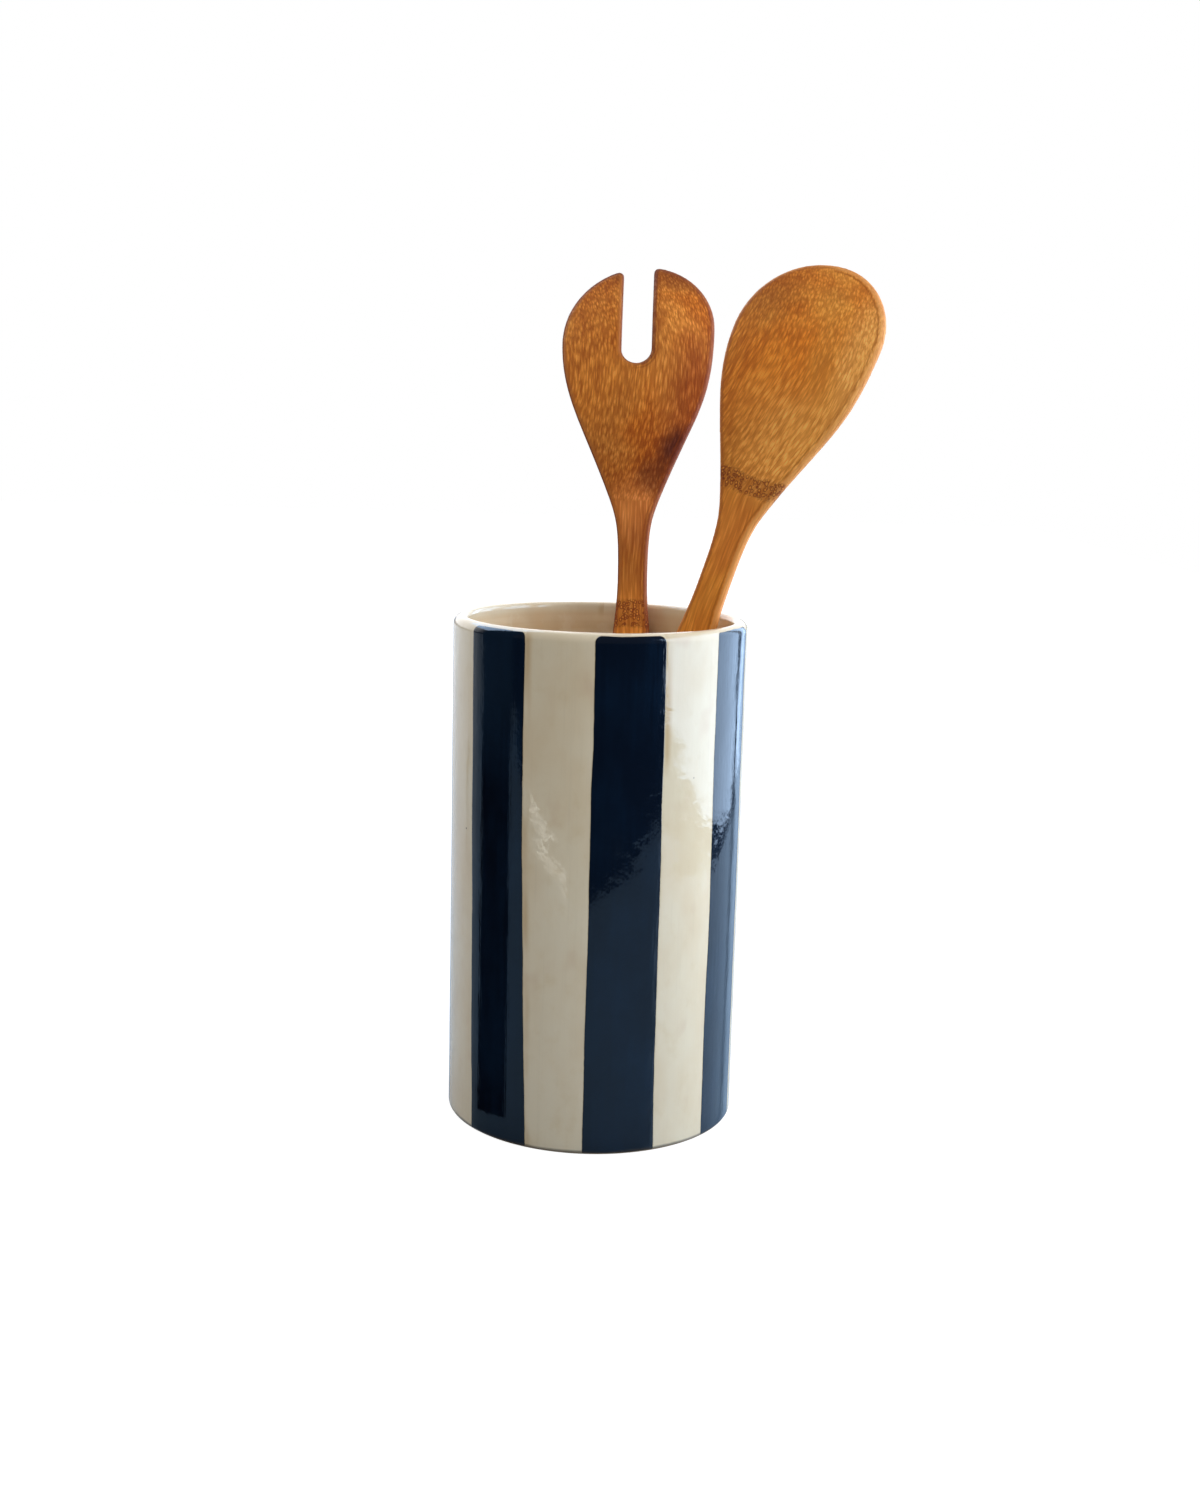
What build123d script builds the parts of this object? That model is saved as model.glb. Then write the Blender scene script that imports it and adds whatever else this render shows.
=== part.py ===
from build123d import *
from math import atan2, cos, degrees, hypot, radians, sin, sqrt
import os

# A straight-sided stoneware utensil crock that holds a bamboo serving fork and a serving spoon.
# Millimetres, +Z up. The origin is the middle of the foot ring, on the surface that the crock stands on.
# The front, which the photograph shows, looks along -Y, and +X is to the right.

# Crock
crock_diameter = 110.0
crock_height = 190.0
wall = 5.5
floor_thickness = 7.0
inner_corner_bevel = 6.0
lip_outer_round = 3.6
lip_inner_bevel = 1.2
foot_ring_width = 9.0
foot_recess_depth = 1.6
foot_bevel = 1.0

# Both servers, which are cut from the same pattern
strip_thickness = 5.5
tip_thickness = 3.6
cross_radius = 120.0
head_length = 127.0
crown_offset = 3.6
head_curl = 16.0
curl_length = 58.0
waist_width = 11.6
grip_width = 18.6
grip_end_round = 7.5
edge_bevel = 0.85

# Serving fork
fork_length = 322.7
fork_head_width = 60.7
slot_width = 12.0
slot_depth = 41.5
slot_offset = -0.5
tine_corner_round = 2.0

# Serving spoon
spoon_length = 330.4
spoon_head_width = 55.2

# How the servers stand in the crock: the place of the foot on the floor, the bearing on the rim
# (clockwise from +Y, seen from above) and the turn of the front face towards -X
rest_gap = 0.3
fork_foot_right = 12.7
fork_foot_back = 8.6
fork_rim_bearing = 16.1
fork_turn = 3.0
spoon_foot_right = -20.6
spoon_foot_back = 2.7
spoon_rim_bearing = 77.4
spoon_turn = 16.2

# Shape of the pattern, as shares of half the head's width and of the head's length from the tip
crown_right_share = 0.206
crown_left_share = 0.255
shoulder_shares = ((0.896, 0.417), (0.618, 0.583), (0.326, 0.75))
# Shape of the grip, as shares of the widening and of the length from the waist to the end
grip_shares = ((0.54, 0.13), (0.94, 0.5))
cut_overrun = 2.0

outer_radius = crock_diameter / 2
inner_radius = outer_radius - wall
# The bent strip is made wider than either head, and the outlines are cut through all its depth
strip_arc = 2 * degrees(atan2(max(fork_head_width, spoon_head_width), cross_radius))
strip_depth = 2 * (head_curl + strip_thickness)
bend_radius = (curl_length**2 + head_curl**2) / (2 * head_curl)


def unit(vector):
    return Vector(*vector).normalized()


def resting_frame(foot_right, foot_back, rim_bearing, turn):
    """Return the plane of a server that stands on the floor and leans on the inside of the rim.

    Its origin is the middle of the grip's end, its Z runs up the grip, and its Y points to the back.
    """
    half_width = grip_width / 2
    half_thickness = strip_thickness / 2
    bearing = radians(rim_bearing)
    outward = Vector(sin(bearing), cos(bearing), 0)
    across = Vector(cos(radians(turn)), -sin(radians(turn)), 0)
    foot = Vector(foot_right, foot_back, floor_thickness)

    # First the line of the grip with its corner's reach left as a circle, to know its lean
    near = inner_radius - hypot(half_width, half_thickness)
    grip = unit(outward * near + Vector(0, 0, crock_height) - foot)

    # Then its line with the corner that meets the rim in its true place
    level = Vector(grip.X, grip.Y, 0) / grip.Z
    wide = unit(across - grip * across.dot(grip))
    back = grip.cross(wide)
    corner = wide * half_width + back * half_thickness
    corner = corner - level * corner.Z
    corner = Vector(corner.X, corner.Y, 0)
    reach = corner.dot(outward)
    allowed = inner_radius - rest_gap
    at_rim = outward * (sqrt(allowed**2 - corner.length**2 + reach**2) - reach)

    # The rounded end of a leaning grip reaches below the middle of that end
    flat = half_width - grip_end_round
    dip = flat * abs(wide.Z) + half_thickness * abs(back.Z)
    dip = dip + grip_end_round * (sqrt(1 - back.Z**2) - grip.Z)
    foot = foot + Vector(0, 0, rest_gap + dip)
    grip = unit(at_rim + Vector(0, 0, crock_height) - foot)
    wide = unit(across - grip * across.dot(grip))
    return Plane(origin=foot, x_dir=wide, z_dir=grip)


def cross_axis(frame):
    """Return the line behind a server that its strip is gently rounded about."""
    return Axis(frame.origin + frame.y_dir * cross_radius, frame.z_dir)


def front_plane(frame):
    """Return the plane of a server's outline, seen from its front and clear in front of the strip."""
    middle = Plane(origin=frame.origin, x_dir=frame.x_dir, z_dir=-frame.y_dir)
    return middle.offset(strip_thickness)


def side_plane(frame):
    """Return the plane of the strip's section, at the start of its way round the cross axis."""
    axis = cross_axis(frame)
    swing = -strip_arc / 2
    back = frame.y_dir.rotate(axis, swing)
    right = frame.x_dir.rotate(axis, swing)
    return Plane(origin=axis.position, x_dir=back, z_dir=right)


def draw_strip_section(length):
    """Draw the bent strip from its side, with X measured from the cross axis."""
    front = -cross_radius - strip_thickness / 2
    back = front + strip_thickness
    bend_start = length - curl_length
    end = length + cut_overrun
    front_end = front + bend_radius - sqrt(bend_radius**2 - (end - bend_start) ** 2)
    back_end = front_end + tip_thickness * bend_radius / (front + bend_radius - front_end)
    with BuildLine() as section:
        Polyline((front, bend_start), (front, -cut_overrun), (back, -cut_overrun), (back, bend_start))
        TangentArc((front, bend_start), (front_end, end), tangent=(0, 1))
        TangentArc((back, bend_start), (back_end, end), tangent=(0, 1))
        Line((front_end, end), (back_end, end))
    make_face(section.edges())


def draw_outline(length, head_width):
    """Draw a server from its front: a broad head, a narrow waist and a grip that widens again.

    The head is cut by hand, with its crown a little to the right and its left side lower.
    """
    half_head = head_width / 2
    half_waist = waist_width / 2
    half_grip = grip_width / 2
    waist = length - head_length
    widening = half_grip - half_waist
    grip_points = [(half_waist, waist)]
    for wide_share, down_share in grip_shares:
        grip_points.append((half_waist + widening * wide_share, waist * (1 - down_share)))
    grip_points.append((half_grip, grip_end_round))
    with BuildLine() as outline:
        for side, crown_share in ((1, crown_right_share), (-1, crown_left_share)):
            crown_height = head_length * crown_share
            widest = length - crown_height
            crown_reach = half_head - side * crown_offset
            quarter = 90 if side > 0 else -90
            EllipticalCenterArc((crown_offset, widest), crown_reach, crown_height, 90, arc_size=-quarter)
            shoulder = [(side * half_head, widest)]
            for wide_share, down_share in shoulder_shares:
                shoulder.append((side * half_head * wide_share, length - head_length * down_share))
            shoulder.append((side * half_waist, waist))
            Spline(*shoulder, tangents=((0, -1), (0, -1)))
            Spline(*((side * wide, height) for wide, height in grip_points), tangents=((0, -1), (0, -1)))
            end_centre = half_grip - grip_end_round
            start = 0 if side > 0 else 180
            CenterArc((side * end_centre, grip_end_round), grip_end_round, start, -quarter)
            Line((side * end_centre, 0), (0, 0))
    make_face(outline.edges())


def flat_edges(server):
    """Return the edges round a server's front and back, which its maker has eased."""
    broad = server.faces().sort_by(SortBy.AREA)[-4:]
    return broad.edges().filter_by(lambda edge: len(broad.filter_by(lambda face: edge in face.edges())) == 1)


with BuildPart() as crock:
    with BuildSketch(Plane.XZ) as crock_section:
        with BuildLine():
            Polyline(
                (0, foot_recess_depth),
                (outer_radius - foot_ring_width, foot_recess_depth),
                (outer_radius - foot_ring_width, 0),
                (outer_radius, 0),
                (outer_radius, crock_height),
                (inner_radius, crock_height),
                (inner_radius, floor_thickness),
                (0, floor_thickness),
                close=True,
            )
        make_face()
        fillet(crock_section.vertices().sort_by_distance((outer_radius, crock_height))[0], lip_outer_round)
        chamfer(crock_section.vertices().sort_by_distance((inner_radius, crock_height))[0], lip_inner_bevel)
        chamfer(crock_section.vertices().sort_by_distance((inner_radius, floor_thickness))[0], inner_corner_bevel)
        chamfer(crock_section.vertices().group_by(Axis.Y)[0], foot_bevel)
    revolve(axis=Axis.Z)

fork_frame = resting_frame(fork_foot_right, fork_foot_back, fork_rim_bearing, fork_turn)
spoon_frame = resting_frame(spoon_foot_right, spoon_foot_back, spoon_rim_bearing, spoon_turn)

with BuildPart() as serving_fork:
    with BuildSketch(side_plane(fork_frame)):
        draw_strip_section(fork_length)
    revolve(axis=cross_axis(fork_frame), revolution_arc=strip_arc)
    with BuildSketch(front_plane(fork_frame)) as fork_outline:
        draw_outline(fork_length, fork_head_width)
        slot_cut = slot_depth + slot_width
        with Locations((slot_offset, fork_length - slot_depth + slot_cut / 2)):
            SlotOverall(slot_cut, slot_width, rotation=90, mode=Mode.SUBTRACT)
        tine_corners = fork_outline.vertices().sort_by(Axis.Y)[-2:]
        fillet(tine_corners, radius=tine_corner_round)
    extrude(amount=-strip_depth, mode=Mode.INTERSECT)
    chamfer(flat_edges(serving_fork), length=edge_bevel)

with BuildPart() as serving_spoon:
    with BuildSketch(side_plane(spoon_frame)):
        draw_strip_section(spoon_length)
    revolve(axis=cross_axis(spoon_frame), revolution_arc=strip_arc)
    with BuildSketch(front_plane(spoon_frame)):
        draw_outline(spoon_length, spoon_head_width)
    extrude(amount=-strip_depth, mode=Mode.INTERSECT)
    chamfer(flat_edges(serving_spoon), length=edge_bevel)

crock.part.label = "crock"
serving_fork.part.label = "serving_fork"
serving_spoon.part.label = "serving_spoon"

os.makedirs("parts", exist_ok=True)
export_step(crock.part, "parts/crock.step")
export_step(serving_fork.part, "parts/serving_fork.step")
export_step(serving_spoon.part, "parts/serving_spoon.step")
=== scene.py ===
"""Looks of a hand-painted, striped stoneware utensil crock with a bamboo serving fork and serving spoon.

Metres, +Z up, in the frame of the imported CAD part. The front of the crock looks along -Y. The finishes of
the glaze and the bamboo reckon in millimetres.
"""
from math import ceil, cos, degrees, pi, sin, tan

import bmesh
import bpy
from bpy.props import FloatProperty, FloatVectorProperty, IntProperty
from mathutils import Matrix, Vector
from mathutils.kdtree import KDTree
from mathutils.noise import noise


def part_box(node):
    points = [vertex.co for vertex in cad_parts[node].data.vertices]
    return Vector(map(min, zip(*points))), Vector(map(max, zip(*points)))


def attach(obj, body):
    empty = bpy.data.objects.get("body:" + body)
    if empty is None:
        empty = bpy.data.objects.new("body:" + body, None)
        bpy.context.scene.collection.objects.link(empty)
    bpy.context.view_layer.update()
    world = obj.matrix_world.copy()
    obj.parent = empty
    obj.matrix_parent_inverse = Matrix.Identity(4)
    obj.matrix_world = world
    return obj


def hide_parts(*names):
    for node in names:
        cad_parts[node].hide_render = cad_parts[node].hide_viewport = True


bl_info = {
    "name": "Striped Utensil Crock",
    "version": (1, 0, 0),
    "blender": (4, 5, 0),
    "location": "3D View > Sidebar > Crock",
    "description": "Dresses a utensil crock and its two bamboo servers",
    "category": "Object",
}

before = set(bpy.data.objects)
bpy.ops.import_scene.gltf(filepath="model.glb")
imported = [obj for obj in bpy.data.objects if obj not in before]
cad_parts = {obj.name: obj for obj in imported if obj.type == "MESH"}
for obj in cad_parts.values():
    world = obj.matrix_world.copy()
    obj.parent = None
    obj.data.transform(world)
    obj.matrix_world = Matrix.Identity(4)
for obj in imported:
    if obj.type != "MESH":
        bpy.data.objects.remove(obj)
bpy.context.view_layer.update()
crock_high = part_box("crock")[1]

MM = 1000

# Edges of the painted stripes, in degrees from the front towards +X, at the lip and at the foot.
# The first band is navy, and the last edge is the first one again.
STRIPE_EDGES = (
    (-55.3, -52.8), (-28.6, -24.8), (-1.7, -2.2), (25.0, 25.8), (50.0, 50.1), (76.8, 76.2), (102.1, 103.0),
    (127.9, 127.0), (153.4, 154.1), (178.6, 178.0), (204.5, 205.3), (229.2, 228.4), (254.8, 255.6),
    (279.9, 280.6), (304.7, 307.2),
)

# Each server's own axes in the frame of the part: where its grip ends, its right side and its length
FORK_AXES = (0.0127, 0.0086, 0.0077697), (0.998669, -0.050068, 0.012416), (-0.003206, 0.17998, 0.983665)
SPOON_AXES = (-0.0206, 0.0027, 0.0084625), (0.910073, -0.300496, -0.285428), (0.308322, 0.030661, 0.950788)

# Outline of the table, whose front edge is near the crock and whose right edge is cut aslant
TABLE_CORNERS = (
    (-3.0, -0.39), (-0.05, -0.39), (0.11, -0.45), (0.44, -0.42),
    (0.44, 0.6), (1.1, 1.8), (1.1, 4.0), (-3.0, 4.0),
)


def linear(red, green, blue):
    """Return the scene-linear colour of three 0 to 255 display values."""
    parts = []
    for value in (red, green, blue):
        value = value / 255
        parts.append(value / 12.92 if value <= 0.04045 else ((value + 0.055) / 1.055) ** 2.4)
    return tuple(parts)


# Tints of the glaze and of the clay under it
THIN_NAVY = linear(14, 32, 54)
NAVY_FRINGE = linear(7, 12, 24)
BUTTERMILK = linear(230, 214, 184)
OATMEAL = linear(216, 194, 150)
BLUSH = linear(214, 186, 158)
CREAM_FRINGE = linear(176, 152, 108)
POOLED_OCHRE = linear(200, 168, 116)
BRUSHED_GREY = linear(208, 196, 170)
IRON_SPECK = linear(92, 66, 44)
# Painted contact shade along the foot
PAINTED_FOOT_SHADE = linear(58, 50, 38)
THIN_AT_LIP = linear(238, 226, 204)
INSIDE_TINTS = linear(240, 220, 188), linear(230, 204, 166)
INSIDE_CLOUD = linear(216, 184, 142)
INSIDE_MOTTLE = linear(242, 228, 204)
BARE_CLAY = linear(176, 150, 118), linear(142, 118, 92)

# Tints of the bamboo's node, and what its fibres multiply the tone under them by
NODE_RING = linear(118, 44, 18)
DARK_FIBRE = (0.64, 0.48, 0.36)
PALE_FIBRE = (1.4, 1.62, 2.1)
PALE_HAIR = (1.3, 1.45, 1.7)


# Shader sums

class Wire:
    """An output socket of a material's tree that takes part in sums as a number does."""

    def __init__(self, recipe, socket):
        self.recipe = recipe
        self.socket = socket

    def __add__(self, other):
        return self.recipe.math("ADD", self, other)

    def __sub__(self, other):
        return self.recipe.math("SUBTRACT", self, other)

    def __rsub__(self, other):
        return self.recipe.math("SUBTRACT", other, self)

    def __mul__(self, other):
        return self.recipe.math("MULTIPLY", self, other)

    def __abs__(self):
        return self.recipe.math("ABSOLUTE", self)

    __radd__ = __add__
    __rmul__ = __mul__


class Recipe:
    """The node tree of one finish while it is put together."""

    def __init__(self, tree):
        self.tree = tree
        tree.nodes.clear()

    def node(self, kind, inputs=None, output=0, **settings):
        """Add a node: first its settings, then the values or wires of its sockets."""
        made = self.tree.nodes.new("ShaderNode" + kind)
        for name, value in settings.items():
            setattr(made, name, value)
        for key, value in (inputs or {}).items():
            socket = made.inputs[key]
            if isinstance(value, Wire):
                self.tree.links.new(value.socket, socket)
            elif socket.type == "RGBA" and len(value) == 3:
                socket.default_value = (*value, 1)
            else:
                socket.default_value = value
        return Wire(self, made.outputs[output])

    def finish(self, kind, shader):
        """Lead the whole tree's result to its output node."""
        made = self.tree.nodes.new("ShaderNode" + kind)
        self.tree.links.new(shader.socket, made.inputs["Surface"])

    def math(self, operation, *values):
        return self.node("Math", dict(enumerate(values)), operation=operation)

    def larger(self, first, second):
        return self.math("MAXIMUM", first, second)

    def smaller(self, first, second):
        return self.math("MINIMUM", first, second)

    def ramp(self, value, low, high, smooth=True):
        """Return 0 where value is at low or before it, 1 from high on, and between them in between."""
        kind = "SMOOTHSTEP" if smooth else "LINEAR"
        return self.node("MapRange", {0: value, 1: low, 2: high}, interpolation_type=kind)

    def bump_round(self, value, middle, spread):
        """Return 1 where value is at middle, falling to 0 at spread on both sides."""
        return 1 - self.ramp(abs(value - middle), 0.0, spread)

    def mix(self, share, first, second, blend="MIX"):
        """Mix two colours."""
        settings = dict(data_type="RGBA", blend_type=blend, clamp_factor=True)
        return self.node("Mix", {0: share, 6: first, 7: second}, output=2, **settings)

    def vector_math(self, operation, first, second, output=0):
        return self.node("VectorMath", {0: first, 1: second}, output=output, operation=operation)

    def along(self, vector, axis):
        """Return how far a vector reaches along an axis of length 1."""
        return self.vector_math("DOT_PRODUCT", vector, axis, output=1)

    def scaled(self, vector, by):
        return self.vector_math("MULTIPLY", vector, by)

    def axes(self, vector):
        split = self.node("SeparateXYZ", {0: vector})
        outputs = split.socket.node.outputs
        return tuple(Wire(self, outputs[place]) for place in range(3))

    def vector(self, x, y, z):
        return self.node("CombineXYZ", {0: x, 1: y, 2: z})

    def noise(self, vector, detail=2.0, rough=0.5):
        return self.node("TexNoise", {"Vector": vector, "Scale": 1.0, "Detail": detail, "Roughness": rough})

    def grain(self, place, across, up, detail=2.0, rough=0.5):
        """Return noise with so many waves in each unit of place across and up the piece."""
        return self.noise(self.scaled(place, (across, across, up)), detail, rough)

    def cells(self, vector, randomness=1.0, output="Distance"):
        """Return each point's distance to the middle of its cell, or the cell's own Color."""
        return self.node("TexVoronoi", {"Vector": vector, "Scale": 1.0, "Randomness": randomness}, output)

    def relief(self, height, distance, strength=1.0, under=None):
        """Return a bumped normal for a height that is 0 to 1 over distance metres."""
        sockets = {"Height": height, "Distance": distance, "Strength": strength}
        if under:
            sockets["Normal"] = under
        return self.node("Bump", sockets)


def new_material(name, build, **sockets):
    """Make a material whose principled shader takes its varying inputs from build and the rest as given."""
    material = bpy.data.materials.new(name)
    material.use_nodes = True
    recipe = Recipe(material.node_tree)
    shader = recipe.node("BsdfPrincipled", {**build(recipe), **sockets})
    recipe.finish("OutputMaterial", shader)
    return material


# Finishes

def painted_stripes(recipe, place, hand):
    """Return how many millimetres each point lies inside the navy, and 1 in the left half of its band."""
    sizes = bpy.context.scene.crock_sizes
    x, y, z = recipe.axes(place)

    # How far round each point lies, with the unsteady line of the brush
    around = recipe.math("ARCTAN2", x, 0 - y) * degrees(1)
    sway = recipe.grain(place, 0.02, 0.016, detail=1.0)
    bristle = recipe.grain(place, 0.4, 0.5, detail=1.0)
    painted = around + (sway - 0.5) * 1.8 + (hand - 0.5) * 0.7 + (bristle - 0.5) * 0.16

    # The stripes run down the wall a little aslant, more so near the foot
    drop = 1 - z * (1 / (sizes.height * MM))
    edges = [drop * drop * (foot - lip) + lip for lip, foot in STRIPE_EDGES]
    painted = painted + recipe.math("LESS_THAN", painted, edges[0]) * 360
    phase = 0
    for left, right in zip(edges, edges[1:]):
        phase = recipe.ramp(painted, left, right, smooth=False) + phase
    band = recipe.math("FRACT", phase)
    half_band = 0.5 - abs(band - 0.5)
    is_navy = recipe.math("LESS_THAN", recipe.math("FRACT", phase * 0.5), 0.5)

    # The navy ends below the lip with rounded corners
    corner = 2.2
    side = half_band * (sizes.band_width * MM) * (is_navy * 2 - 1)
    top = sizes.stripe_top * MM + (hand - 0.5) * 0.9 - z
    across = recipe.larger(corner - side, 0.0)
    down = recipe.larger(corner - top, 0.0)
    inside = corner - recipe.math("SQRT", across * across + down * down)
    return inside, recipe.math("LESS_THAN", band, 0.5)


def cream_glaze(recipe, hand, cloud, mottle, streak, fringe, pooled):
    """Return the cream between the stripes, uneven as a brushed glaze is."""
    cream = bpy.context.scene.crock_sizes.cream
    cream = recipe.mix(recipe.ramp(cloud, 0.35, 0.7), cream, BUTTERMILK)
    cream = recipe.mix(recipe.ramp(mottle, 0.5, 0.8) * 0.25, cream, OATMEAL)
    cream = recipe.mix(recipe.ramp(hand, 0.6, 0.78) * 0.35, cream, BLUSH)
    cream = recipe.mix(fringe * 0.55, cream, CREAM_FRINGE)
    cream = recipe.mix(pooled * 0.6, cream, POOLED_OCHRE)
    return recipe.mix(recipe.ramp(streak, 0.5, 0.75) * 0.12, cream, BRUSHED_GREY)


def iron_specks(recipe, place):
    """Return where a few iron specks melt through the glaze."""
    spread = recipe.scaled(place, (0.085, 0.085, 0.085))
    size = recipe.axes(recipe.cells(spread, output="Color"))[0]
    return (1 - recipe.ramp(recipe.cells(spread), 0.02, 0.045)) * recipe.math("GREATER_THAN", size, 0.72)


def inside_glaze(recipe, radius, z, cloud, mottle, speck):
    """Return the warmer glaze of the inside, with faint rings from the wheel."""
    rings = recipe.noise(recipe.vector(radius * 0.3, 0.0, z * 0.33))
    warm = recipe.mix(recipe.ramp(rings, 0.35, 0.7), *INSIDE_TINTS)
    warm = recipe.mix(recipe.ramp(cloud, 0.42, 0.66) * 0.6, warm, INSIDE_CLOUD)
    warm = recipe.mix(recipe.ramp(mottle, 0.56, 0.64) * 0.3, warm, INSIDE_MOTTLE)
    return recipe.mix(speck, warm, IRON_SPECK)


def glaze_coat(recipe):
    """Cream glaze with navy stripes brushed on by hand, bare clay under the foot."""
    sizes = bpy.context.scene.crock_sizes
    place = recipe.scaled(recipe.node("TexCoord", output="Object"), (MM, MM, MM))
    x, y, z = recipe.axes(place)
    radius = recipe.math("SQRT", x * x + y * y)
    outer_face = recipe.ramp(radius, 50.9, 51.1)

    hand = recipe.grain(place, 0.07, 0.05)
    streak = recipe.grain(place, 0.9, 0.03, detail=3.0, rough=0.6)
    cloud = recipe.grain(place, 0.04, 0.025, detail=3.0, rough=0.55)
    mottle = recipe.grain(place, 0.16, 0.12, detail=4.0, rough=0.6)
    speck = iron_specks(recipe, place)
    inside, left_in_band = painted_stripes(recipe, place, hand)
    navy = recipe.ramp(inside, -0.06, 0.1) * outer_face
    fringe = recipe.bump_round(inside, 0.1, 0.55) * outer_face

    thin = recipe.ramp(streak * 0.3 + cloud * 0.7, 0.42, 0.7)
    navy_colour = recipe.mix(thin * 0.7, sizes.navy, THIN_NAVY)
    navy_colour = recipe.mix(fringe * 0.75, navy_colour, NAVY_FRINGE)

    # Glaze that pooled in the brush's path beside the right edges of the stripes
    pooled = recipe.bump_round(inside, -1.2, 2.4) * left_in_band
    pooled = pooled * recipe.ramp(recipe.grain(place, 0.09, 0.022), 0.45, 0.7)
    cream = cream_glaze(recipe, hand, cloud, mottle, streak, fringe, pooled)
    cream = recipe.mix(speck * 0.75, cream, IRON_SPECK)
    colour = recipe.mix(navy, cream, navy_colour)

    # A dark band over the foot is painted contact shade, and the glaze runs thin over the lip.
    # The clay is bare where the crock stands
    foot = 1 - recipe.ramp(z + (hand - 0.5) * 1.2, 0.9, 1.9)
    colour = recipe.mix(foot * outer_face * 0.7, colour, PAINTED_FOOT_SHADE)
    lip = recipe.ramp(z, 186.5, 189.6) * (1 - navy)
    colour = recipe.mix(lip * 0.5, colour, THIN_AT_LIP)
    within = (1 - outer_face) * recipe.ramp(z, 3.0, 5.0) * (1 - recipe.ramp(z, 184.0, 188.5))
    colour = recipe.mix(within * 0.9, colour, inside_glaze(recipe, radius, z, cloud, mottle, speck))
    recess = (1 - recipe.ramp(z, 2.0, 2.4)) * (1 - recipe.ramp(radius, 46.2, 46.8))
    bare = recipe.smaller(1 - recipe.ramp(z, 0.55, 0.75) + recess, 1.0)
    colour = recipe.mix(bare, colour, recipe.mix(mottle, *BARE_CLAY))

    ripple = recipe.grain(place, 0.06, 0.05, detail=1.0, rough=0.4)
    skin = recipe.grain(place, 0.26, 0.2, detail=2.0, rough=0.55)
    normal = recipe.relief(ripple, 0.0012, 0.22)
    normal = recipe.relief(skin, 0.0002, 0.34, normal)
    normal = recipe.relief(navy * (0.75 + streak * 0.5), 0.00009, 1.0, normal)
    roughness = recipe.ramp(mottle, 0.3, 0.8) * 0.06 + 0.05 + bare * 0.6 + speck * 0.1
    return {"Base Color": colour, "Roughness": roughness, "Normal": normal}


def with_stains_and_painted_light(recipe, colour, place, stains_and_painted_light, patch, fibre):
    """Return the colour with oval spots of stain and of painted light and shade, ragged by patch and fibre.
    """
    for where, reach, strength, tint in stains_and_painted_light:
        away = recipe.vector_math("SUBTRACT", place, where)
        away = recipe.scaled(away, tuple(1 / part for part in reach))
        away = recipe.node("VectorMath", {0: away}, output=1, operation="LENGTH")
        spot = 1 - recipe.ramp(away + (patch - 0.5) * 0.9 + (fibre - 0.5) * 0.35, 0.25, 1.0)
        colour = recipe.mix(spot * strength, colour, tint)
    return colour


def sides_and_rims_with_painted_light(recipe, colour, x, y, z, side, marks, dark):
    """Return the colour with the sawn sides' long fibres, and painted light and shade on the sides and rims.
    """
    long_fibre = recipe.noise(recipe.vector(x * 0.4, y * 2.2, z * 0.02))
    sawn = recipe.mix(recipe.ramp(long_fibre, 0.4, 0.62), *marks["sides"])
    colour = recipe.mix(side * 0.85, colour, sawn)
    edge = recipe.node("Attribute", attribute_name="edge_nearness", output=2)
    on_right = recipe.ramp(x, -3.0, 3.0)
    # A thin line of painted shade runs along the right edge, just inside the rim
    shade_line = recipe.bump_round(edge, 0.42, 0.16) * (1 - side) * on_right
    colour = recipe.mix(shade_line * 0.5, colour, dark)
    # The rims take a left and a right tone of painted light and painted shade
    rim = recipe.ramp(edge, 0.5, 0.7) * (1 - side)
    return recipe.mix(rim * 0.7, colour, recipe.mix(on_right, *marks["rim_light_and_shade"]))


def cane_node(recipe, place, z, marks):
    """Return the band of the cane's node, and its curled fibres and pale points."""
    line = z + (recipe.grain(place, 0.12, 0.12) - 0.5) * 5.0
    reach = marks["node_reach"]
    band = 1 - recipe.ramp(abs(line - marks["node"]), reach - 2, reach)
    curl = recipe.cells(recipe.scaled(place, (0.78, 0.78, 0.62)))
    return band, recipe.bump_round(curl, 0.42, 0.2) * band, (1 - recipe.ramp(curl, 0.1, 0.26)) * band


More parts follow.
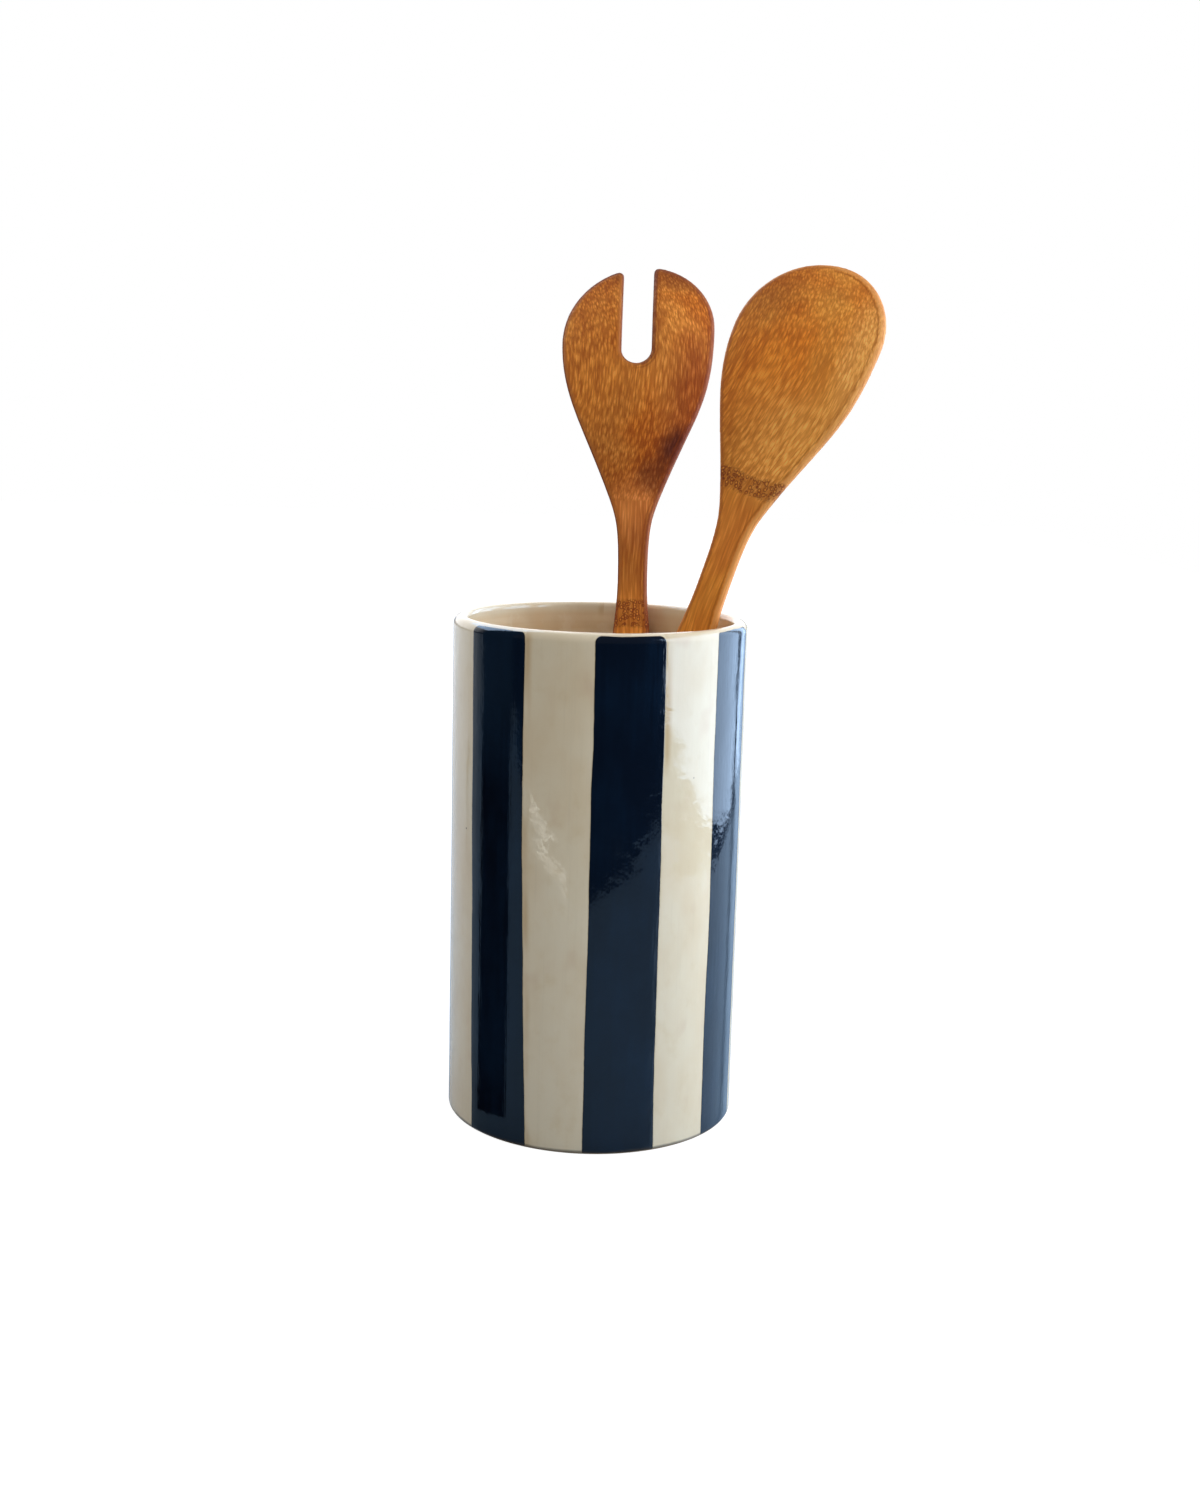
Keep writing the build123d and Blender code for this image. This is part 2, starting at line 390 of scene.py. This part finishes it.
def bamboo_coat(axes, tones, marks):
    """Return the build function of one server's oiled bamboo.

    axes are the server's own, and tones its light, middle and dark colours. marks gives its places, in
    millimetres from the grip's end: mid_head, where the cut runs with the fibres, head_base, tip and node,
    which is a joint of the cane, and how its fibres, rims, sides and spots look. The rims and sides, and some
    of the spots, are painted light and shade.
    """
    end, right, back, along = axes
    light, middle, dark = tones

    def build(recipe):
        out = recipe.vector_math("SUBTRACT", recipe.node("TexCoord", output="Object"), end)
        x, y, z = (recipe.along(out, axis) * MM for axis in (right, back, along))
        place = recipe.vector(x, y, z)
        facing = recipe.along(recipe.node("TexCoord", output="Normal"), back)
        side = 1 - recipe.ramp(abs(facing), 0.6, 0.9)

        # The cut crosses the cane's layers towards the tip and the base of the head
        from_middle = recipe.larger(z, marks["head_base"]) - marks["mid_head"]
        layer = y + from_middle * from_middle * marks["dish"]
        # The fibres lie askew in the head, and run long and straight down the grip
        in_head = recipe.larger(z - marks["head_base"], 0.0)
        wander = recipe.grain(place, 0.03, 0.018, detail=1.0)
        across = x + (wander - 0.5) * 7.0 - in_head * marks["slant"]
        run = in_head + recipe.smaller(z - marks["head_base"], 0.0) * 0.5
        lean = across + layer * 0.5
        fibre = recipe.noise(recipe.vector(lean * 1.1, layer * 0.8, run * 0.09))
        fine = recipe.noise(recipe.vector(lean * 2.0, layer * 1.2, run * 0.2), detail=1.0)
        bundle = recipe.cells(recipe.vector(lean * 1.15, layer * 0.95, run * 0.17), randomness=0.85)
        bundle = bundle + (fine - 0.5) * 0.4
        pore = recipe.ramp(fibre, 0.51, 0.6)
        line = recipe.ramp(bundle, 0.46, 0.64)
        vein = recipe.ramp(bundle, 0.38, 0.22)
        hair = recipe.ramp(fine, 0.48, 0.38)

        # The tone changes softly, and is darker at the tip and at the base of the head
        growth = recipe.noise(recipe.vector(across * 0.05, layer * 0.2, z * 0.01), detail=1.0)
        patch = recipe.grain(place, 0.055, 0.03, detail=3.0)
        colour = recipe.mix(recipe.ramp(growth * 0.45 + patch * 0.55, 0.36, 0.66), middle, light)
        tip = recipe.ramp(z, marks["tip"] - 14, marks["tip"])
        base = recipe.bump_round(z, marks["head_base"] + 8, 32)
        depth = recipe.smaller(tip * marks["dark_tip"] + base * marks["dark_base"], 1.0)
        dull = recipe.smaller(recipe.ramp(patch, 0.48, 0.7) * 0.3 + depth, 0.85)
        colour = recipe.mix(dull, colour, dark)
        # Real stains, and oval patches of painted light and shade
        colour = with_stains_and_painted_light(recipe, colour, place, marks["stains_and_painted_light"], patch, fibre)

        # The fibres show as dark pores and light dashes on whatever tone lies under them
        pattern = (marks["grain"] - patch * 0.4) * (recipe.ramp(in_head, 0.0, 12.0) * 0.3 + 0.7)
        colour = recipe.mix(pore * pattern * 0.55, colour, DARK_FIBRE, "MULTIPLY")
        colour = recipe.mix(line * pattern * 0.8, colour, DARK_FIBRE, "MULTIPLY")
        colour = recipe.mix(vein * pattern, colour, PALE_FIBRE, "MULTIPLY")
        colour = recipe.mix(hair * pattern * 0.55, colour, PALE_HAIR, "MULTIPLY")
        # The sides and rims take painted light and shade
        colour = sides_and_rims_with_painted_light(recipe, colour, x, y, z, side, marks, dark)

        band, ring, dots = cane_node(recipe, place, z, marks)
        colour = recipe.mix(band * 0.4, colour, dark)
        colour = recipe.mix(ring * 0.75, colour, NODE_RING)
        colour = recipe.mix(dots * 0.8, colour, light)

        normal = recipe.relief(fibre, 0.00025, 0.35)
        normal = recipe.relief(fine, 0.00012, 0.35, normal)
        normal = recipe.relief(ring, 0.0002, 0.4, normal)
        roughness = 0.44 + pore * 0.12 + line * 0.08 + band * 0.08 + side * 0.2
        return {"Base Color": colour, "Roughness": roughness, "Normal": normal}

    return build


def oiled_bamboo(name, axes, tones, marks):
    return new_material(name, bamboo_coat(axes, tones, marks), **{"IOR": 1.45, "Specular IOR Level": 0.2})


# Shapes

def rounded_path(corners, step):
    """Return points along straight runs between corners of (radius, height, rounding)."""
    path = []
    for place, (across, up, rounding) in enumerate(corners):
        here = Vector((across, up))
        if rounding == 0:
            path.append(here)
            continue
        to_last = (Vector(corners[place - 1][:2]) - here).normalized()
        to_next = (Vector(corners[place + 1][:2]) - here).normalized()
        half_angle = to_last.angle(to_next) / 2
        centre = here + (to_last + to_next).normalized() * rounding / sin(half_angle)
        start = here + to_last * rounding / tan(half_angle)
        arm = start - centre
        turn = (pi - 2 * half_angle) * (1 if arm.y * to_last.x - arm.x * to_last.y > 0 else -1)
        steps = max(4, ceil(abs(turn) * rounding / (step * 0.2)))
        for share in range(steps + 1):
            angle = turn * share / steps
            path.append(centre + Matrix.Rotation(angle, 2) @ arm)
    filled = [path[0]]
    for point in path[1:]:
        pieces = max(1, ceil((point - filled[-1]).length / step))
        last = filled[-1]
        filled.extend(last.lerp(point, share / pieces) for share in range(1, pieces + 1))
    return filled


def turn_on_wheel(path, rounds):
    """Return a mesh turned round +Z from (radius, height) points that start and end on the axis."""
    shape = bmesh.new()
    low = shape.verts.new((0, 0, path[0].y))
    high = shape.verts.new((0, 0, path[-1].y))
    rings = []
    for point in path[1:-1]:
        ring = []
        for place in range(rounds):
            angle = 2 * pi * place / rounds
            ring.append(shape.verts.new(thrown(point.x, angle, point.y)))
        rings.append(ring)
    for place in range(rounds):
        after = (place + 1) % rounds
        shape.faces.new((low, rings[0][after], rings[0][place]))
        shape.faces.new((high, rings[-1][place], rings[-1][after]))
        for lower, upper in zip(rings, rings[1:]):
            shape.faces.new((lower[place], lower[after], upper[after], upper[place]))
    bmesh.ops.recalc_face_normals(shape, faces=shape.faces)
    for face in shape.faces:
        face.smooth = True
    return mesh_of(shape, "thrown_crock")


def thrown(radius, angle, height):
    """Return a point of the crock with the slight unevenness of a pot that was shaped by hand."""
    sizes = bpy.context.scene.crock_sizes
    away = Vector((sin(angle), -cos(angle), 0))
    soft = noise(Vector((away.x * 1.3, away.y * 1.3, height * 9))) * 0.6
    rings = noise(Vector((away.x * 0.5, away.y * 0.5, height * 75 + angle / (2 * pi)))) * 0.4
    share = min(1.0, radius / sizes.outer_radius)
    inward = sizes.unevenness * (1 + soft + rings) / 2 * share
    return away * (radius - inward) + Vector((0, 0, height))


def mesh_of(shape, name):
    """Turn a finished shape into a mesh."""
    mesh = bpy.data.meshes.new(name)
    shape.to_mesh(mesh)
    shape.free()
    return mesh


def add_object(name, mesh, material):
    piece = bpy.data.objects.new(name, mesh)
    piece.data.materials.clear()
    piece.data.materials.append(material)
    bpy.context.scene.collection.objects.link(piece)
    return piece


def own_axes(end, right, along):
    """Return a server's end, and its axes to the right, to the back and up the grip."""
    right = Vector(right).normalized()
    along = Vector(along).normalized()
    return Vector(end), right, along.cross(right), along


def carve(name, node, axes, material):
    """Make a server from its solid, with worn, hand-sanded edges."""
    sizes = bpy.context.scene.server_sizes
    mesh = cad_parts[node].data.copy()
    shape = bmesh.new()
    shape.from_mesh(mesh)
    bmesh.ops.remove_doubles(shape, verts=shape.verts, dist=1e-6)
    shape.to_mesh(mesh)
    shape.free()
    piece = add_object(name, mesh, material)
    remesh = piece.modifiers.new("even_faces", "REMESH")
    remesh.mode = "VOXEL"
    remesh.voxel_size = sizes.voxel
    sanding = piece.modifiers.new("sanded_edges", "SMOOTH")
    sanding.factor = 0.5
    sanding.iterations = sizes.sanding
    bpy.context.view_layer.update()
    solved = piece.evaluated_get(bpy.context.evaluated_depsgraph_get())
    smooth = bpy.data.meshes.new_from_object(solved)
    piece.modifiers.clear()
    piece.data = smooth
    smooth.name = name
    for face in smooth.polygons:
        face.use_smooth = True
    smooth.materials.clear()
    smooth.materials.append(material)
    mark_edges(smooth, axes, sizes.painted_rim_reach)
    return piece


def mark_edges(mesh, axes, reach):
    """Store how near each point of a server is to its sides, for the painted light and shade of the rims."""
    back = axes[2]
    sides = [point.index for point in mesh.vertices if abs(point.normal.dot(back)) < 0.6]
    tree = KDTree(len(sides))
    for place, index in enumerate(sides):
        tree.insert(mesh.vertices[index].co, place)
    tree.balance()
    near = mesh.attributes.new("edge_nearness", "FLOAT", "POINT")
    for point in mesh.vertices:
        distance = tree.find(point.co)[2]
        near.data[point.index].value = max(0.0, 1 - distance / reach)


# Settings

class CrockSizes(bpy.types.PropertyGroup):
    outer_radius: FloatProperty(
        name="Outer radius", description="Radius of the crock's outside", default=crock_high.x, unit="LENGTH",
    )
    height: FloatProperty(
        name="Height", description="Height from the foot to the lip", default=crock_high.z, unit="LENGTH",
    )
    wall: FloatProperty(name="Wall", description="Thickness of the wall", default=0.0055, unit="LENGTH")
    floor_thickness: FloatProperty(
        name="Floor", description="Height of the inside floor above the table", default=0.007, unit="LENGTH",
    )
    foot_width: FloatProperty(
        name="Foot ring", description="Width of the foot ring", default=0.009, unit="LENGTH",
    )
    recess: FloatProperty(
        name="Recess", description="Depth of the recess under the foot", default=0.0016, unit="LENGTH",
    )
    ring_round: FloatProperty(
        name="Ring rounding", description="Rounding of the foot ring's inside", default=0.0005, unit="LENGTH",
    )
    foot_round: FloatProperty(
        name="Foot rounding", description="Rounding of the foot's outer edge", default=0.0011, unit="LENGTH",
    )
    lip_round: FloatProperty(
        name="Lip rounding", description="Rounding of the lip's outer edge", default=0.0034, unit="LENGTH",
    )
    lip_inner_round: FloatProperty(
        name="Inner lip", description="Rounding of the lip's inner edge", default=0.0019, unit="LENGTH",
    )
    corner_round: FloatProperty(
        name="Inner corner", description="Rounding from the wall to the floor", default=0.008, unit="LENGTH",
    )
    unevenness: FloatProperty(
        name="Unevenness", description="How far the shaped wall dips inwards", default=0.00035, unit="LENGTH",
    )
    band_width: FloatProperty(
        name="Band width", description="Width of a painted band", default=0.0247, unit="LENGTH",
    )
    stripe_top: FloatProperty(
        name="Stripe top", description="Height at which the navy ends", default=0.1892, unit="LENGTH",
    )
    face_length: FloatProperty(
        name="Face length", description="Length of a face along the wall", default=0.0025, unit="LENGTH",
    )
    rounds: IntProperty(name="Rounds", description="Steps round the crock", default=288)
    navy: FloatVectorProperty(
        name="Navy", description="Colour of the stripes", size=3, subtype="COLOR",
        default=linear(8, 14, 27),
    )
    cream: FloatVectorProperty(
        name="Cream", description="Colour of the glaze", size=3, subtype="COLOR",
        default=linear(236, 225, 200),
    )


class ServerSizes(bpy.types.PropertyGroup):
    voxel: FloatProperty(
        name="Face size", description="Size of a server's even faces", default=0.0007, unit="LENGTH",
    )
    sanding: IntProperty(name="Sanding", description="How often the edges are smoothed", default=2)
    # The painted light and shade of the rims reaches this far from a side
    painted_rim_reach: FloatProperty(
        name="Worn reach", description="How far the wear reaches from a side", default=0.004, unit="LENGTH",
    )
    light: FloatVectorProperty(
        name="Light", description="Lightest bamboo", default=linear(252, 170, 70), size=3, subtype="COLOR",
    )
    middle: FloatVectorProperty(
        name="Middle", description="Middle bamboo", default=linear(228, 136, 46), size=3, subtype="COLOR",
    )
    dark: FloatVectorProperty(
        name="Dark", description="Darkest bamboo", default=linear(156, 76, 18), size=3, subtype="COLOR",
    )


class StageSizes(bpy.types.PropertyGroup):
    lens: FloatProperty(name="Lens", description="Focal length", default=42.75, unit="CAMERA")
    camera_distance: FloatProperty(
        name="Distance", description="Camera in front of the crock's axis", default=0.66252, unit="LENGTH",
    )
    camera_height: FloatProperty(
        name="Height", description="Camera above the table", default=0.26437, unit="LENGTH",
    )
    heading: FloatProperty(
        name="Heading", description="How far the camera looks to the left", default=-0.0014, unit="ROTATION",
    )
    pitch: FloatProperty(
        name="Pitch", description="How far the camera looks down", default=0.1867, unit="ROTATION",
    )
    roll: FloatProperty(name="Roll", description="Tilt of the camera", default=0.0259, unit="ROTATION")
    window: FloatProperty(name="Window", description="Brightness of the window", default=3.0)
    fill: FloatProperty(name="Fill", description="Brightness of the room", default=0.46)


# Pieces

class CROCK_OT_crock(bpy.types.Operator):
    """Turn the crock and paint its stripes"""
    bl_idname = "crock.crock"
    bl_label = "Crock"

    def execute(self, context):
        sizes = context.scene.crock_sizes
        outer = sizes.outer_radius
        inner = outer - sizes.wall
        foot = outer - sizes.foot_width
        corners = [
            (0, sizes.recess, 0),
            (foot, sizes.recess, sizes.ring_round),
            (foot, 0, sizes.ring_round),
            (outer, 0, sizes.foot_round),
            (outer, sizes.height, sizes.lip_round),
            (inner, sizes.height, sizes.lip_inner_round),
            (inner, sizes.floor_thickness, sizes.corner_round),
            (0, sizes.floor_thickness, 0),
        ]
        mesh = turn_on_wheel(rounded_path(corners, sizes.face_length), sizes.rounds)
        glaze = new_material("painted_glaze", glaze_coat, **{"IOR": 1.6})
        crock = add_object("painted_crock", mesh, glaze)
        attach(crock, "crock")
        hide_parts("crock")
        return {"FINISHED"}


class CROCK_OT_fork(bpy.types.Operator):
    """Carve the serving fork"""
    bl_idname = "crock.fork"
    bl_label = "Serving fork"

    def execute(self, context):
        tones = (linear(250, 166, 72), linear(214, 122, 38), linear(146, 68, 18))
        marks = {
            "mid_head": 290.0,
            "head_base": 226.0,
            "tip": 322.0,
            "dish": 0.0034,
            "node": 182.0,
            "node_reach": 6.5,
            "slant": 0.03,
            "grain": 0.9,
            # The dark sides and the dark right rim are painted shade that the spoon casts on the fork
            "sides": (linear(150, 78, 34), linear(120, 58, 28)),
            "dark_tip": 0.4,
            "dark_base": 0.4,
            "rim_light_and_shade": (linear(196, 118, 54), linear(132, 62, 34)),
            "stains_and_painted_light": (
                # The first spot is painted shade from the spoon on the head's right; the spots at 246 and 236
                # are real stains
                ((24.0, 0.0, 266.0), (22.0, 16.0, 40.0), 0.75, linear(160, 76, 30)),
                ((-18.0, 0.0, 272.0), (16.0, 14.0, 34.0), 0.4, linear(250, 164, 70)),
                ((0.0, 0.0, 220.0), (18.0, 14.0, 20.0), 0.7, linear(240, 152, 80)),
                ((0.0, 0.0, 202.0), (30.0, 30.0, 20.0), 0.55, linear(150, 76, 26)),
                ((18.0, -3.0, 246.0), (10.0, 12.0, 13.0), 0.9, linear(84, 34, 28)),
                ((9.0, -3.0, 236.0), (11.0, 12.0, 9.0), 0.6, linear(108, 48, 26)),
                ((-4.0, 12.0, 320.0), (9.0, 9.0, 8.0), 0.7, linear(120, 58, 24)),
                ((16.0, 12.0, 318.0), (14.0, 9.0, 9.0), 0.45, linear(132, 66, 26)),
            ),
        }
        axes = own_axes(*FORK_AXES)
        fork = carve("carved_fork", "serving_fork", axes, oiled_bamboo("fork_bamboo", axes, tones, marks))
        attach(fork, "serving_fork")
        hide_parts("serving_fork")
        return {"FINISHED"}


class CROCK_OT_spoon(bpy.types.Operator):
    """Carve the serving spoon"""
    bl_idname = "crock.spoon"
    bl_label = "Serving spoon"

    def execute(self, context):
        sizes = context.scene.server_sizes
        tones = (tuple(sizes.light), tuple(sizes.middle), tuple(sizes.dark))
        marks = {
            "mid_head": 292.0,
            "head_base": 238.0,
            "tip": 336.0,
            "dish": 0.0030,
            "node": 243.0,
            "node_reach": 4.6,
            "slant": 0.16,
            "grain": 0.78,
            # The pale sides and the pale right rim are painted light from the right; the darker left rim is
            # painted shade
            "sides": (linear(236, 164, 92), linear(206, 130, 62)),
            "dark_tip": 0.15,
            "dark_base": 0.15,
            "rim_light_and_shade": (linear(184, 104, 40), linear(242, 172, 98)),
            "stains_and_painted_light": (
                # The first spot darkens the upper left of the head as painted shade
                ((-20.0, 4.0, 314.0), (18.0, 14.0, 18.0), 0.45, linear(164, 78, 14)),
                ((-22.0, -3.0, 255.0), (9.0, 9.0, 20.0), 0.2, linear(158, 84, 30)),
                ((0.0, 0.0, 280.0), (24.0, 24.0, 40.0), 0.5, linear(246, 132, 24)),
                # This spot lightens the lower head, and the last one the right of the head, as painted light
                ((10.0, 0.0, 262.0), (32.0, 24.0, 34.0), 0.85, linear(255, 177, 84)),
                ((0.0, 0.0, 222.0), (20.0, 20.0, 20.0), 0.4, linear(244, 152, 70)),
                ((24.0, 4.0, 296.0), (14.0, 20.0, 42.0), 0.8, linear(255, 182, 92)),
            ),
        }
        axes = own_axes(*SPOON_AXES)
        spoon = carve("carved_spoon", "serving_spoon", axes, oiled_bamboo("spoon_bamboo", axes, tones, marks))
        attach(spoon, "serving_spoon")
        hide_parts("serving_spoon")
        return {"FINISHED"}


class CROCK_OT_stage(bpy.types.Operator):
    """Set the table, the window light, the room and the camera"""
    bl_idname = "crock.stage"
    bl_label = "Stage"

    def execute(self, context):
        sizes = context.scene.stage_sizes
        table = add_object("table", table_top(), new_table_paint())

        # The window stands in the wall on the right, and a bar parts its panes
        wall = 1.7
        pane_top = 1.9
        daylight = (0.8, 0.9, 1.0)
        add_window("window", place=(wall, 0.75, 0.8), size=(4.0, 2.2), radiance=sizes.window, colour=daylight)
        sky = tuple(sizes.window * share for share in (0.74, 1.02, 1.42))
        add_card("left_pane", ((wall, -1.3, -0.17), (wall, 1.62, -0.365)), pane_top, sky)
        add_card("right_pane", ((wall, 2.0, -1.0), (wall, 3.4, -1.0)), pane_top, sky)
        add_card("skylight", ((-2.0, 0.0, 1.0), (-0.6, 1.6, 1.0)), 2.8, sky)
        add_card("door_edge", ((-0.549, 0.301, -0.05), (-0.563, 0.279, -0.05)), 0.04, (0.02, 0.01, 0.0))
        edge_feet = ((-0.55, -0.43, -0.045), (-0.16, -0.43, -0.045))
        add_card("table_edge_light", edge_feet, -0.005, (3.2, 3.2, 3.0))
        dark_feet = ((-0.0532, -0.0535, 0.0), (-0.0642, -0.0312, 0.0))
        add_card("dark_card", dark_feet, 0.3, (0, 0, 0), (0.03, 0.08, 0.16))
        set_room(context.scene, sizes.fill)

        lens = bpy.data.cameras.new("camera")
        lens.lens = sizes.lens
        lens.sensor_width = 36
        lens.clip_start = 0.01
        camera = bpy.data.objects.new("camera", lens)
        context.scene.collection.objects.link(camera)
        upright = Matrix.Rotation(pi / 2 - sizes.pitch, 4, "X")
        camera.matrix_world = (
            Matrix.Translation((0, -sizes.camera_distance, sizes.camera_height))
            @ Matrix.Rotation(sizes.heading, 4, "Z") @ upright @ Matrix.Rotation(sizes.roll, 4, "Z")
        )
        context.scene.camera = camera
        context.scene.view_settings.view_transform = "Standard"
        return {"FINISHED"}


def table_top():
    shape = bmesh.new()
    shape.faces.new([shape.verts.new((x, y, 0)) for x, y in TABLE_CORNERS])
    shape.normal_update()
    bmesh.ops.triangulate(shape, faces=shape.faces)
    return mesh_of(shape, "table")


def new_table_paint():
    """Pale paint that the camera sees as white with the soft shadow of what stands on it."""
    material = bpy.data.materials.new("table_paint")
    material.use_nodes = True
    recipe = Recipe(material.node_tree)
    seen = recipe.node("LightPath", output="Is Camera Ray")
    mirrored = recipe.node("LightPath", output="Is Glossy Ray")
    flecks = recipe.grain(recipe.node("TexCoord", output="Object"), 9, 9, detail=3.0)
    pale = recipe.mix(recipe.ramp(flecks, 0.3, 0.7), linear(176, 178, 180), linear(184, 186, 188))
    pale = recipe.mix(mirrored, pale, linear(132, 168, 204))
    bounce = recipe.node("BsdfPrincipled", {"Base Color": pale, "Roughness": 0.16})
    shadow = recipe.node("BsdfDiffuse", {"Color": (0.25, 0.25, 0.25)})
    glow = recipe.node("Emission", {"Color": (1, 1, 1), "Strength": 0.93})
    white = recipe.node("AddShader", {0: shadow, 1: glow})
    recipe.finish("OutputMaterial", recipe.node("MixShader", {0: seen, 1: bounce, 2: white}))
    return material


def add_window(name, place, size, radiance, colour):
    """Add a soft area lamp that shines to the left and doesn't show in reflections."""
    lamp = bpy.data.lights.new(name, "AREA")
    lamp.shape = "RECTANGLE"
    lamp.size, lamp.size_y = size
    lamp.energy = radiance * pi * size[0] * size[1]
    lamp.color = colour
    window = bpy.data.objects.new(name, lamp)
    bpy.context.scene.collection.objects.link(window)
    away = Vector((place[0], 0, 0))
    window.matrix_world = Matrix.Translation(place) @ away.to_track_quat("Z", "Y").to_matrix().to_4x4()
    window.visible_camera = False
    window.visible_glossy = False


def add_card(name, feet, top, glow, upper_glow=None):
    """Stand a card in the room that only reflections show, of one glow or fading to another high up."""
    shape = bmesh.new()
    near, far = feet
    corners = (near, far, (far[0], far[1], top), (near[0], near[1], top))
    shape.faces.new([shape.verts.new(corner) for corner in corners])
    mesh = mesh_of(shape, name)
    material = bpy.data.materials.new(name)
    material.use_nodes = True
    recipe = Recipe(material.node_tree)
    if upper_glow:
        up = recipe.axes(recipe.node("TexCoord", output="Object"))[2]
        glow = recipe.mix(recipe.ramp(up, 0.125, 0.17), glow, upper_glow)
    recipe.finish("OutputMaterial", recipe.node("Emission", {"Color": glow, "Strength": 1.0}))
    card = add_object(name, mesh, material)
    card.visible_camera = False
    card.visible_diffuse = False
    card.visible_shadow = False
    card.visible_transmission = False


def set_room(scene, fill):
    """Light the room softly, white to the camera, and dark in reflections but for the room's back."""
    world = bpy.data.worlds.new("room")
    scene.world = world
    world.use_nodes = True
    recipe = Recipe(world.node_tree)
    seen = recipe.node("LightPath", output="Is Camera Ray")
    mirrored = recipe.node("LightPath", output="Is Glossy Ray")
    x, y, z = recipe.axes(recipe.node("TexCoord", output="Generated"))
    back = recipe.ramp(y, 0.15, 0.65) * recipe.ramp(x, 0.9, -0.2)
    soft = recipe.ramp(z, 0.1, 1.0) * 0.9 + back * 0.5 + recipe.ramp(x, -0.3, -1.0) * 0.35 + 0.72
    daylight = recipe.vector(*(soft * (fill * share) for share in (1.0, 0.95, 0.87)))
    shine = recipe.ramp(z, -0.04, 0.1) * (back * 2.0 + 0.05)
    dusk = recipe.vector(*(shine + share for share in (0.01, 0.04, 0.1)))
    level = recipe.mix(seen, recipe.mix(mirrored, daylight, dusk), (1, 1, 1))
    recipe.finish("OutputWorld", recipe.node("Background", {"Color": level, "Strength": 1.0}))


class CROCK_PT_panel(bpy.types.Panel):
    """List the crock's pieces"""
    bl_label = "Utensil crock"
    bl_idname = "CROCK_PT_panel"
    bl_space_type = "VIEW_3D"
    bl_region_type = "UI"
    bl_category = "Crock"

    def draw(self, context):
        for piece in PIECES:
            self.layout.operator(piece.bl_idname)


PIECES = (CROCK_OT_crock, CROCK_OT_fork, CROCK_OT_spoon, CROCK_OT_stage)
GROUPS = {"crock_sizes": CrockSizes, "server_sizes": ServerSizes, "stage_sizes": StageSizes}


def register():
    for group in (*GROUPS.values(), *PIECES, CROCK_PT_panel):
        bpy.utils.register_class(group)
    for name, group in GROUPS.items():
        setattr(bpy.types.Scene, name, bpy.props.PointerProperty(type=group))


def unregister():
    for name in GROUPS:
        delattr(bpy.types.Scene, name)
    for group in (CROCK_PT_panel, *reversed(PIECES), *reversed(GROUPS.values())):
        bpy.utils.unregister_class(group)


def main():
    register()
    bpy.ops.crock.crock()
    bpy.ops.crock.fork()
    bpy.ops.crock.spoon()
    bpy.ops.crock.stage()


if __name__ == "__main__":
    main()
